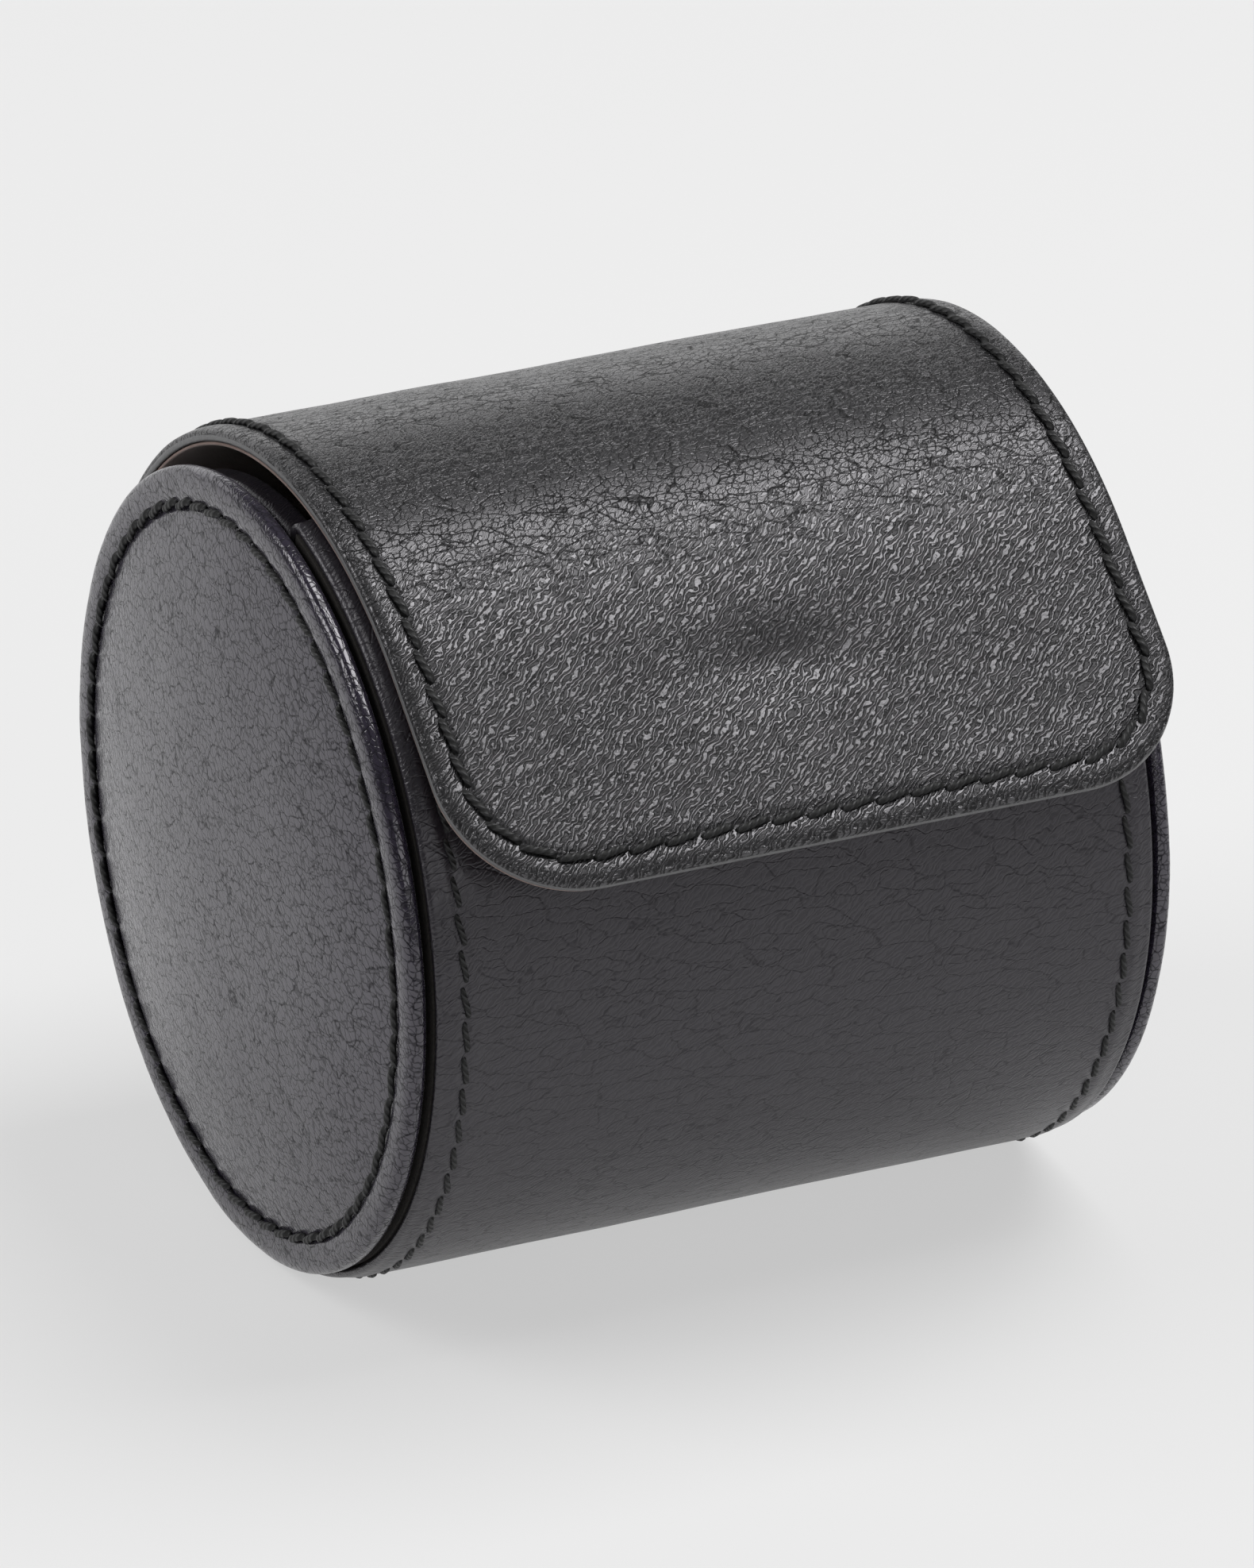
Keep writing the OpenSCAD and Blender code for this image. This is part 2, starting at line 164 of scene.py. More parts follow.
def smooth_step(low, high, value):
    """0 below low, 1 above high and smooth between."""
    t = np.clip((value - low) / (high - low), 0, 1)
    return t * t * (3 - 2 * t)


def bell(distance, width):
    """1 at no distance, falling off smoothly over the width."""
    return np.exp(-((distance / width) ** 2))


def uneven(u, v, size, salt):
    """Soft random height from about -1 to 1 over places, with bumps about as wide as size."""
    flat_u = np.ravel(u) / size
    flat_v = np.ravel(v) / size
    found = [noise.noise(Vector((a, b, salt))) for a, b in zip(flat_u, flat_v)]
    return np.reshape(found, np.shape(u))


def waves(u, v, *bumps):
    """Soft relief over places, from bumps that each give a height, a width and a salt."""
    return sum(height * uneven(u, v, width, salt) for height, width, salt in bumps)


def round_length(angle, radius):
    """Length along a circle that an angle in degrees takes up."""
    return radians(angle) * radius


def on_roll(reference):
    """Flat places as places on the roll: u runs along it, v round it at the reference radius."""
    def place(u, v, height):
        angle = v / reference
        return np.stack([u, height * np.sin(angle), AXIS_HEIGHT + height * np.cos(angle)], -1)
    return place


def on_wrap(u, v, height):
    """Flat places as places on the wrap, which is pressed flat where the roll rests."""
    points = on_roll(WRAP_RADIUS)(u, v, height)
    points[..., 2] = np.maximum(points[..., 2], 0)
    return points


def on_flap(u, v, height):
    """Flat places as places on the flap, which runs straight in front of its bend."""
    angle = np.maximum(v / FLAP_RADIUS, BEND_TURN)
    ahead = np.maximum(FLAP_BEND - v, 0)
    y = height * np.sin(angle) - ahead * cos(BEND_TURN)
    z = height * np.cos(angle) + ahead * sin(BEND_TURN)
    return np.stack([u, y, AXIS_HEIGHT + z], -1)


def on_disc(side, radius):
    """Flat places as places on an end disc: u runs round it at a radius, v outward from there."""
    def place(u, v, height):
        angle = u / radius
        reach = radius + v
        x = side * (DISC_BACK + height)
        return np.stack([x, side * reach * np.sin(angle), AXIS_HEIGHT + reach * np.cos(angle)], -1)
    return place


def on_cushion(u, v, height):
    """Flat places as places on the cushion: u runs round it, v outward, height along it."""
    angle = u / CUSHION_RADIUS
    reach = CUSHION_RADIUS + v
    return np.stack([height, reach * np.sin(angle), CUSHION_HEIGHT + reach * np.cos(angle)], -1)


def signed_volume(points, faces):
    """Six times the volume inside the faces, below 0 where they face inward."""
    fans = [(face[0], b, c) for face in faces for b, c in zip(face[1:], face[2:])]
    first, second, third = points[np.array(fans).T]
    return np.sum(first * np.cross(second, third))


def new_object(name, data):
    made = bpy.data.objects.new(name, data)
    bpy.context.scene.collection.objects.link(made)
    return made


def new_piece(name, points, flat, faces, materials, face_materials=None):
    """A closed smooth mesh from places in millimetres. The flat places stay with it for its grain."""
    points = np.asarray(points, float).reshape(-1, 3)
    if signed_volume(points, faces) < 0:
        faces = [face[::-1] for face in faces]
    mesh = bpy.data.meshes.new(name)
    mesh.from_pydata((points * MM).tolist(), [], faces)
    grain = mesh.attributes.new("flat", "FLOAT_VECTOR", "POINT")
    grain.data.foreach_set("vector", np.asarray(flat, np.float32).ravel())
    for material in materials:
        mesh.materials.append(material)
    if face_materials is not None:
        mesh.polygons.foreach_set("material_index", face_materials)
    mesh.shade_smooth()
    return new_object(name, mesh)


def stand_for(piece, body, slot, *nodes):
    """Lets a piece stand for nodes and ride on a body. The slot is not used."""
    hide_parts(*nodes)
    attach(piece, body)


def edge_loop(rows, columns):
    """Indices of a grid's outer vertices, in order round it."""
    corner = np.arange(rows * columns).reshape(rows, columns)
    return np.concatenate([corner[0], corner[1:, -1], corner[-1, -2::-1], corner[-2:0:-1, 0]])


def square_normals(rows, columns):
    """Which way is outward at each outer vertex of a grid with square corners."""
    row, column = np.divmod(edge_loop(rows, columns), columns)
    out_u = 1.0 * (column == columns - 1) - (column == 0)
    out_v = 1.0 * (row == rows - 1) - (row == 0)
    return out_u, out_v


def round_rim(steps):
    """A half-round edge from the top to the bottom, as (share outward, share down) at each step."""
    angles = [pi * step / (steps + 1) for step in range(1, steps + 1)]
    return [(sin(angle), (1 - cos(angle)) / 2) for angle in angles]


LEATHER_RIM = round_rim(7)
SUEDE_RIM = round_rim(3)


def sheet_places(u, v, top, bottom, normals, rim, reach):
    """Flat places of a closed sheet: its top, the steps of its rim and its bottom."""
    loop = edge_loop(*u.shape)
    upper = np.stack(np.broadcast_arrays(u, v, top), -1).reshape(-1, 3)
    lower = np.stack(np.broadcast_arrays(u, v, bottom), -1).reshape(-1, 3)
    out = reach * np.stack([*normals, np.zeros(len(loop))], -1)
    fall = (lower - upper)[loop]
    steps = [upper[loop] + out * outward + fall * down for outward, down in rim]
    return np.concatenate([upper, *steps, lower])


def sheet_piece(name, u, v, top, bottom, normals, rim, reach, place, materials, edged=()):
    """A closed sheet: a top and a bottom over one grid, joined round the edge by the rim's steps.
    The faces that start at an edged step take the second material."""
    flat = sheet_places(u, v, top, bottom, normals, rim, reach)
    points = place(flat[:, 0], flat[:, 1], flat[:, 2])
    rows, columns = u.shape
    loop = edge_loop(rows, columns)
    around = len(loop)
    size = rows * columns
    under = size + len(rim) * around
    corner = np.arange(size).reshape(rows, columns)
    quads = np.stack([corner[:-1, :-1], corner[:-1, 1:], corner[1:, 1:], corner[1:, :-1]], -1)
    quads = quads.reshape(-1, 4)
    faces = [quads, quads[:, ::-1] + under]
    marks = [np.zeros(2 * len(quads), int)]
    steps = [size + step * around + np.arange(around) for step in range(len(rim))]
    rings = [loop, *steps, loop + under]
    for step, (upper, lower) in enumerate(zip(rings, rings[1:])):
        faces.append(np.stack([np.roll(upper, -1), upper, lower, np.roll(lower, -1)], -1))
        marks.append(np.full(around, int(step in edged)))
    face_materials = np.concatenate(marks).tolist() if edged else None
    return new_piece(name, points, flat, np.concatenate(faces).tolist(), materials, face_materials)


def ring_faces(corner):
    """Faces between rows of vertices, each row a closed ring."""
    after = np.roll(corner, -1, 1)
    return np.stack([corner[:-1], after[:-1], after[1:], corner[1:]], -1).reshape(-1, 4).tolist()


def turned_piece(name, profile, segments, place, materials, radius, lift=None):
    """A closed profile of (distance from the axis, height) turned about an axis, on which it starts and
    ends. A lift adds height by distance and place round the axis."""
    profile = np.asarray(profile, float)
    ring = profile[1:-1]
    distance = np.repeat(ring[:, :1], segments, 1)
    height = np.repeat(ring[:, 1:], segments, 1)
    turn = np.repeat(whole_turn(segments)[None, :], len(ring), 0)
    if lift is not None:
        height = height + lift(distance, turn, height)
    ends = profile[[0, -1]]
    points = np.concatenate([
        place(turn.ravel() * radius, distance.ravel() - radius, height.ravel()),
        place(np.zeros(2), ends[:, 0] - radius, ends[:, 1]),
    ])
    flat = np.stack([
        np.append(distance * np.sin(turn), [0, 0]),
        np.append(distance * np.cos(turn), [0, 0]),
        np.append(height, ends[:, 1]),
    ], -1)
    corner = np.arange(len(ring) * segments).reshape(-1, segments)
    after = np.roll(corner, -1, 1)
    faces = ring_faces(corner)
    faces += [[corner.size, b, a] for a, b in zip(corner[0], after[0])]
    faces += [[corner.size + 1, a, b] for a, b in zip(corner[-1], after[-1])]
    return new_piece(name, points, flat, faces, materials)


# Stitches
STITCH_RINGS = 11
STITCH_SIDES = 8


def stitch_count(length):
    return max(1, round(length / STITCH_PITCH))


def pucker(along, length):
    """1 at each needle hole of a row of that length and 0 between holes."""
    pitch = length / stitch_count(length)
    from_hole = np.abs((along / pitch + 0.5) % 1 - 0.5) * pitch
    return bell(from_hole, HOLE_WIDTH)


def seam_sink(distance, along, length):
    """How far leather is pulled down beside a row of stitches."""
    beside = bell(distance, SEAM_WIDTH)
    return SEAM_DEPTH * beside + HOLE_DEPTH * beside * pucker(along, length)


def stitch_faces():
    """Faces of one stitch: a tube of rings, closed at both ends."""
    corner = np.arange(STITCH_RINGS * STITCH_SIDES).reshape(-1, STITCH_SIDES)
    return [*ring_faces(corner), corner[0, ::-1].tolist(), corner[-1].tolist()]


def stitch_shape(pitch, thread, chooser):
    """Places along, across and above a row of the points of one stitch, at random a bit uneven."""
    share = np.linspace(-1, 1, STITCH_RINGS)[:, None]
    turn = whole_turn(STITCH_SIDES)
    half = pitch / 2 * chooser.uniform(0.96, 1.04)
    slant = STITCH_SLANT * chooser.uniform(0.7, 1.3)
    rise = THREAD_RISE + chooser.uniform(-0.04, 0.05)
    along = share * half
    centre = slant * along + THREAD_SWAY * np.sin(2.5 * along)
    middle = rise - THREAD_DIVE * np.abs(share) ** 5
    radius = thread * (1 - THREAD_TAPER * np.abs(share) ** 4)
    across = centre + radius * np.cos(turn) * THREAD_WIDE
    height = middle + radius * np.sin(turn) * THREAD_HIGH
    return np.repeat(along, STITCH_SIDES, 1), across, height


def stitch_piece(name, rows, surface, place, material, chooser, thread=THREAD_RADIUS):
    """Separate stitches, each a bead of thread that dives into the leather at both ends. A row gives its
    length and a function from places along it to (u, v, direction u, direction v)."""
    one = stitch_faces()
    turn = np.repeat(whole_turn(STITCH_SIDES)[None], STITCH_RINGS, 0)
    points = []
    flats = []
    faces = []
    for length, path in rows:
        count = stitch_count(length)
        pitch = length / count
        for index in range(count):
            u, v, du, dv = path((index + 0.5) * pitch)
            along, across, height = stitch_shape(pitch, thread, chooser)
            start = len(points) * STITCH_RINGS * STITCH_SIDES
            spots = place(u + du * along - dv * across, v + dv * along + du * across, surface + height)
            points.append(spots.reshape(-1, 3))
            flats.append(np.stack([along + index * pitch, turn, 0 * turn], -1).reshape(-1, 3))
            faces += [[corner + start for corner in face] for face in one]
    return new_piece(name, np.concatenate(points), np.concatenate(flats), faces, [material])


# Materials
def opaque(red, green, blue):
    """A colour that hides what is behind it."""
    return (red, green, blue, 1.0)


WHITE = opaque(1.0, 1.0, 1.0)


class Shader:
    """A material built of nodes. Inputs are numbers, colours or other nodes' outputs."""

    def __init__(self, name):
        self.material = bpy.data.materials.new(name)
        self.material.use_nodes = True
        self.tree = self.material.node_tree
        self.surface = self.tree.nodes["Principled BSDF"]

    def add(self, kind, inputs, **settings):
        node = self.tree.nodes.new("ShaderNode" + kind)
        for key, value in settings.items():
            setattr(node, key, value)
        for key, value in inputs.items():
            self.put(node.inputs[key], value)
        return node

    def put(self, socket, value):
        if isinstance(value, bpy.types.NodeSocket):
            self.tree.links.new(value, socket)
        else:
            socket.default_value = value

    def give(self, **values):
        """Sets the surface's own inputs, named with _ for each space."""
        for key, value in values.items():
            self.put(self.surface.inputs[key.replace("_", " ")], value)

    def math(self, operation, first, second=0.0):
        return self.add("Math", {0: first, 1: second}, operation=operation).outputs[0]

    def ramp(self, value, low, high, to_low=0.0, to_high=1.0):
        inputs = {"Value": value, "From Min": low, "From Max": high, "To Min": to_low, "To Max": to_high}
        return self.add("MapRange", inputs, interpolation_type="SMOOTHSTEP").outputs["Result"]

    def grain_place(self):
        """The flat place that each vertex keeps, in millimetres."""
        return self.add("Attribute", {}, attribute_name="flat").outputs["Vector"]

    def vectors(self, operation, first, second):
        return self.add("VectorMath", {0: first, 1: second}, operation=operation).outputs["Vector"]

    def stretch(self, vector, factors):
        return self.vectors("MULTIPLY", vector, factors)

    def turned(self, vector, angle):
        inputs = {"Vector": vector, "Angle": radians(angle)}
        return self.add("VectorRotate", inputs, rotation_type="Z_AXIS").outputs["Vector"]

    def warp(self, vector, size, amount):
        """Moves places about at random, over bumps of a size, by up to about half the amount."""
        cloud = self.add("TexNoise", {"Vector": vector, "Scale": 1 / size, "Detail": 2.0}).outputs["Color"]
        centred = self.vectors("SUBTRACT", cloud, (0.5, 0.5, 0.5))
        return self.vectors("ADD", vector, self.stretch(centred, (amount, amount, amount)))

    def cloud(self, vector, size, detail=3.0):
        """Soft patches about as wide as the size."""
        return self.add("TexNoise", {"Vector": vector, "Scale": 1 / size, "Detail": detail}).outputs["Fac"]

    def cracks(self, vector, size):
        """Distance to the nearest line of a net of cells, in cells."""
        inputs = {"Vector": vector, "Scale": 1 / size}
        return self.add("TexVoronoi", inputs, feature="DISTANCE_TO_EDGE").outputs["Distance"]

    def bands(self, vector, pitch):
        """Wavy ridges along X, about a pitch apart. At a scale of 1 they are a tenth of pi apart."""
        inputs = {"Vector": vector, "Scale": pi / 10 / pitch, "Distortion": 9.0, "Detail": 2.0,
                  "Detail Scale": 2.2}
        return self.add("TexWave", inputs, wave_type="BANDS", bands_direction="Y").outputs["Fac"]

    def blend(self, share, first, second):
        """A colour between two: Mix has its colours at inputs 6 and 7 and its result at output 2."""
        return self.add("Mix", {0: share, 6: first, 7: second}, data_type="RGBA").outputs[2]

    def bump(self, height, depth):
        """Lets the light see a height map whose full range is a depth in millimetres."""
        node = self.add("Bump", {"Strength": 1.0, "Distance": depth * MM, "Height": height})
        self.give(Normal=node.outputs["Normal"])


# Leather grain, in millimetres, with each warp's size and amount and stretches along and across
BLOOM_TINT = opaque(0.98, 0.96, 1.0)
RIDGE_PITCH = 0.46
RIDGE_WARP = (3.0, 1.2)
RIDGE_STRETCH = (0.52, 1.0, 1.0)
NET_WARP = (1.3, 0.9)
NET_STRETCH = (0.7, 1.15, 1.0)
CREASE_WARP = (3.0, 2.2)
CREASE_STRETCH = (0.15, 0.6, 0.6)
CREASE_CELL = 1.0
CREASE_LINE = 0.05
GAP_SIZE = 0.9
SWELL_SIZE = 1.8
SPECK_SIZE = 0.13


def leather_grain(shader, place, cell, line, whole, turn, front):
    """Heights from 0 to 1 of ridges, of cells between cracks and of what lies between creases."""
    loose = shader.turned(shader.warp(place, *RIDGE_WARP), turn)
    ridges = shader.ramp(shader.bands(shader.stretch(loose, RIDGE_STRETCH), RIDGE_PITCH), 0.05, 0.9)
    net = shader.turned(shader.warp(place, *NET_WARP), turn)
    cells = shader.ramp(shader.cracks(shader.stretch(net, NET_STRETCH), cell), 0.0, line)
    gaps = shader.ramp(shader.cloud(place, GAP_SIZE, 2.0), whole, whole + 0.2)
    cells = shader.math("MAXIMUM", cells, gaps)
    bent = shader.stretch(shader.warp(place, *CREASE_WARP), CREASE_STRETCH)
    creases = shader.ramp(shader.cracks(bent, CREASE_CELL), 0.0, CREASE_LINE)
    if front:
        along = shader.add("SeparateXYZ", {0: place}).outputs["Y"]
        ridges = shader.math("MAXIMUM", ridges, shader.ramp(along, *front, 0.0, 0.6))
        cells = shader.math("MAXIMUM", cells, shader.ramp(along, *front, 0.72, 0.0))
        creases = shader.math("MAXIMUM", creases, shader.ramp(along, *front, 0.6, 0.0))
    return ridges, cells, creases


def leather(name, low_colour, high_colour, depths, dull_and_shade, cell, line, whole, turn, shine, gloss, sheen,
            front=None):
    """Leather with short wavy ridges that lean one way, a net of thin cracks and long creases. Depths are for
    ridges, cracks and creases, and so are the shares by which their low parts turn rougher and take painted
    shade that darkens colour, specular and sheen. Lines are a share of a cell, and the net is broken where a
    cloud is over whole. Between a front's two places cracks give way to ridges."""
    shader = Shader(name)
    place = shader.grain_place()
    grain = leather_grain(shader, place, cell, line, whole, turn, front)
    height = shader.math("MULTIPLY", shader.cloud(place, SWELL_SIZE, 2.0), depths[0] / 16)
    # Random specks first, then the loop lowers this mask in the hollows of ridges, cracks and creases
    polish_and_hollow_shade = shader.ramp(shader.cloud(place, SPECK_SIZE, 2.0), 0.2, 0.8, 0.97, 1.0)
    for part, depth, dulling_and_shade in zip(grain, depths, dull_and_shade):
        height = shader.math("ADD", height, shader.math("MULTIPLY", part, depth))
        polish_and_hollow_shade = shader.math("MULTIPLY", polish_and_hollow_shade, shader.ramp(part, 0.0, 1.0, 1.0 - dulling_and_shade, 1.0))
    shader.bump(height, 1.0)
    # Where the mask is low the leather is rougher, and its colour, specular and sheen fall: painted shade in
    # the hollows
    shader.give(
        Base_Color=shader.blend(polish_and_hollow_shade, low_colour, high_colour),
        Roughness=shader.ramp(polish_and_hollow_shade, 0.0, 0.9, shine + 0.25, shine),
        Specular_IOR_Level=shader.ramp(polish_and_hollow_shade, 0.0, 1.0, 0.05, gloss),
        Sheen_Weight=shader.math("MULTIPLY", polish_and_hollow_shade, sheen),
        Sheen_Roughness=0.3,
        Sheen_Tint=BLOOM_TINT,
        Specular_Tint=BLOOM_TINT,
    )
    return shader.material


def edge_paint(name, low_colour, worn_colour):
    """Smooth painted edge of leather, with faint ridges."""
    shader = Shader(name)
    place = shader.grain_place()
    ridges = shader.cloud(shader.stretch(place, (1.0, 1.0, 3.0)), 0.5)
    shader.bump(ridges, 0.04)
    shader.give(
        Base_Color=shader.blend(shader.cloud(place, 3.0), low_colour, worn_colour),
        Roughness=shader.ramp(ridges, 0.2, 0.8, 0.35, 0.5),
    )
    return shader.material


def suede(name, low_colour, brushed_colour):
    """Brushed suede with a short nap that lies in patches."""
    shader = Shader(name)
    place = shader.grain_place()
    nap = shader.cloud(shader.stretch(shader.warp(place, 1.5, 0.8), (1.0, 2.2, 1.0)), 0.22, 4.0)
    patches = shader.ramp(shader.cloud(shader.warp(place, 8.0, 6.0), 7.0), 0.35, 0.65)
    shader.bump(shader.math("ADD", nap, shader.math("MULTIPLY", patches, 0.3)), 0.12)
    tone = shader.math("ADD", shader.math("MULTIPLY", nap, 0.6), shader.math("MULTIPLY", patches, 0.4))
    shader.give(
        Base_Color=shader.blend(tone, low_colour, brushed_colour),
        Roughness=shader.ramp(nap, 0.2, 0.8, 0.98, 0.86),
        Sheen_Weight=0.35,
        Sheen_Roughness=0.5,
        Specular_IOR_Level=0.2,
    )
    return shader.material


def twisted_thread(name, low_colour, worn_colour):
    """Waxed thread whose strands wind round it."""
    shader = Shader(name)
    parts = shader.add("SeparateXYZ", {0: shader.grain_place()}).outputs
    wind_along = shader.math("MULTIPLY", parts["X"], 7.0)
    wind_round = shader.math("MULTIPLY", parts["Y"], 2.0)
    strands = shader.ramp(shader.math("SINE", shader.math("ADD", wind_along, wind_round)), -1.0, 1.0)
    shader.bump(strands, 0.1)
    shader.give(
        Base_Color=shader.blend(strands, low_colour, worn_colour),
        Roughness=shader.ramp(strands, 0.0, 1.0, 0.7, 0.5),
    )
    return shader.material


def pressed_board(name, low_colour, fleck_colour):
    """Pressed fibre board, for the stiffeners and the magnets' casing."""
    shader = Shader(name)
    place = shader.stretch(shader.add("TexCoord", {}).outputs["Object"], (1 / MM, 1 / MM, 1 / MM))
    fibres = shader.cloud(shader.stretch(shader.warp(place, 3.0, 2.0), (0.4, 1.6, 1.6)), 0.5, 5.0)
    shader.bump(fibres, 0.05)
    shader.give(
        Base_Color=shader.blend(shader.ramp(fibres, 0.35, 0.65), low_colour, fleck_colour),
        Roughness=shader.ramp(fibres, 0.3, 0.7, 0.9, 0.75),
    )
    return shader.material


def studio_floor(name, lit_colour, seen_colour, glow):
    """Plain pale floor. Seen straight or mirrored, part of its paleness is its own."""
    shader = Shader(name)
    path = shader.add("LightPath", {}).outputs
    seen = shader.math("MAXIMUM", path["Is Camera Ray"], path["Is Glossy Ray"])
    seen = shader.math("MAXIMUM", seen, path["Is Transmission Ray"])
    shader.give(
        Base_Color=shader.blend(seen, lit_colour, seen_colour),
        Emission_Strength=shader.math("MULTIPLY", seen, glow),
        Emission_Color=WHITE,
        Roughness=0.9,
        Specular_IOR_Level=0.1,
    )
    return shader.material


flap_leather = leather("flap_leather", opaque(0.003, 0.003, 0.003), opaque(0.014, 0.014, 0.015),
                       depths=(0.1, 0.03, 0.03), dull_and_shade=(0.58, 0.56, 0.6), cell=0.75, line=0.1, whole=0.52,
                       turn=-40, shine=0.26, gloss=1.0, sheen=0.02, front=(-30, -14))
roll_leather = leather("roll_leather", opaque(0.005, 0.004, 0.005), opaque(0.014, 0.012, 0.017),
                       depths=(0.02, 0.003, 0.03), dull_and_shade=(0.2, 0.06, 0.24), cell=1.2, line=0.1, whole=0.52,
                       turn=-35, shine=0.34, gloss=0.75, sheen=0.02)
# The discs have the same leather as the roll, given lighter colours with more violet: the extra lightness is
# painted light for the brighter look of the ends
disc_leather = leather("disc_leather", opaque(0.003, 0.003, 0.004), opaque(0.022, 0.018, 0.031),
                       depths=(0.004, 0.013, 0.008), dull_and_shade=(0.1, 0.55, 0.5), cell=0.8, line=0.15, whole=0.7,
                       turn=40, shine=0.14, gloss=1.0, sheen=0.2)
leather_edge = edge_paint("leather_edge", opaque(0.09, 0.09, 0.092), opaque(0.14, 0.14, 0.144))
lining_suede = suede("lining_suede", opaque(0.180, 0.117, 0.100), opaque(0.310, 0.218, 0.190))
cushion_suede = suede("cushion_suede", opaque(0.060, 0.038, 0.031), opaque(0.115, 0.077, 0.063))
black_thread = twisted_thread("black_thread", opaque(0.003, 0.003, 0.003), opaque(0.010, 0.010, 0.011))
dark_board = pressed_board("dark_board", opaque(0.020, 0.018, 0.016), opaque(0.034, 0.030, 0.027))
magnet_casing = pressed_board("magnet_casing", opaque(0.045, 0.044, 0.044), opaque(0.080, 0.078, 0.078))

# The wrap round the case
WRAP_EDGE_SINK = 0.25
WRAP_EDGE_WIDTH = 0.8
WRAP_STITCH_SINK = 0.2
TURN_OVER = 0.05


def wrap_piece():
    """Leather wrap with its two rows of stitches, turned over the lip and the back edge."""
    edge = WRAP_LEATHER / 2
    band = WRAP_HALF - EDGE_BAND
    along = lines([edge - WRAP_HALF, -band, band, WRAP_HALF - edge], [FINE_STEP, COARSE_STEP, FINE_STEP])
    start = round_length(BACK_EDGE_ANGLE, WRAP_RADIUS) + WRAP_LEATHER
    end = round_length(LIP_ANGLE, WRAP_RADIUS) - WRAP_LEATHER
    around = lines([start, start + TURN_OVER, end - TURN_OVER, end], [TURN_OVER, ROUND_STEP, TURN_OVER])
    u, v = np.meshgrid(along, around)
    length = end - start
    row = WRAP_HALF - STITCH_INSET
    top = WRAP_RADIUS - seam_sink(np.abs(np.abs(u) - row), v - start, length)
    top -= WRAP_EDGE_SINK * bell(WRAP_HALF - np.abs(u) - edge, WRAP_EDGE_WIDTH)
    top += waves(u, v, (0.07, 16, 1.5), (0.03, 5, 2.5))
    turned_over = (v < start + TURN_OVER / 2) | (v > end - TURN_OVER / 2)
    inside = WRAP_RADIUS - WRAP_LEATHER
    bottom = np.where(turned_over, inside - GLUE_GAP - WALL_BOARD, inside)
    out_u, out_v = square_normals(*u.shape)
    piece = sheet_piece("wrap_leather", u, v, top, bottom, (out_u * edge, out_v * WRAP_LEATHER), LEATHER_RIM,
                        1, on_wrap, [roll_leather])
    stand_for(piece, "case", "leather", "body_cover")

    chooser = random.Random(SEED)
    for side, name in SIDES:
        def path(s, side=side):
            return side * row, start + s, 0, 1
        stitches = stitch_piece(f"{name}_wrap_stitches", [(length, path)], WRAP_RADIUS - WRAP_STITCH_SINK,
                                on_wrap, black_thread, chooser, WRAP_THREAD_RADIUS)
        stand_for(stitches, "case", "thread", f"{name}_body_stitching")


wrap_piece()

# The flap with its hinge and tail, as places on its leather laid flat
BEND_TURN = radians(FLAP_BEND_ANGLE)
FLAP_BEND = BEND_TURN * FLAP_RADIUS
FLAP_FRONT = FLAP_BEND - (-flap_low.y + FLAP_RADIUS * sin(BEND_TURN)) / cos(BEND_TURN)
FLAP_TAIL = round_length(TAIL_END_ANGLE, FLAP_RADIUS)
CROSS_SEAM = round_length(CROSS_SEAM_ANGLE, FLAP_RADIUS)
TAIL_SEAM = FLAP_TAIL - STITCH_INSET
HINGE_START = round_length(HINGE_START_ANGLE, FLAP_RADIUS)
GLUED_FROM = round_length(HINGE_END_ANGLE - 1, FLAP_RADIUS)
GLUED_TO = round_length(HINGE_END_ANGLE, FLAP_RADIUS)
ROW_HALF = FLAP_HALF - STITCH_INSET
ROW_CORNER = FLAP_CORNER - STITCH_INSET
CORNER_U = FLAP_HALF - FLAP_CORNER
CORNER_V = FLAP_FRONT + FLAP_CORNER
SIDE_LENGTH = TAIL_SEAM - CORNER_V
CORNER_LENGTH = ROW_CORNER * pi / 2
PERIMETER = 2 * SIDE_LENGTH + 2 * CORNER_LENGTH + 2 * CORNER_U

# The flap's edge, dent and pockets, in millimetres
FLAP_EDGE = 0.4
FLAP_EDGE_SINK = 0.16
FLAP_CORNER_ROWS = 26
CROSS_SEAM_FADE = 0.4
DENT_DEPTH = 0.5
DENT_SHIFT = -1
DENT_WIDTH = 7.5
DENT_HEIGHT = 3.8
BOARD_SLACK = 0.1
BOARD_BEFORE_SEAM = 0.9
MAGNET_SLACK = 0.6
SUEDE_EDGE = 0.2
SUEDE_INSET = 0.1

# Steps round the flap's edge as (share outward, share down): rounded leather, then a bead of paint
FLAP_RIM = [(0.42, 0.05), (0.74, 0.14), (0.94, 0.26), (1.0, 0.38), (0.98, 0.48)]
FLAP_BEAD = [(1.12, 0.56), (1.2, 0.7), (1.16, 0.86), (0.9, 1.0)]


def flap_inset(u, v):
    """Distance from the flap's outline, positive inside it."""
    beside = np.abs(u - FLAP_MIDDLE)
    past_u = beside - CORNER_U
    past_v = CORNER_V - v
    straight = np.minimum(np.minimum(FLAP_HALF - beside, v - FLAP_FRONT), FLAP_TAIL - v)
    in_corner = (past_u > 0) & (past_v > 0)
    return np.where(in_corner, FLAP_CORNER - np.hypot(past_u, past_v), straight)


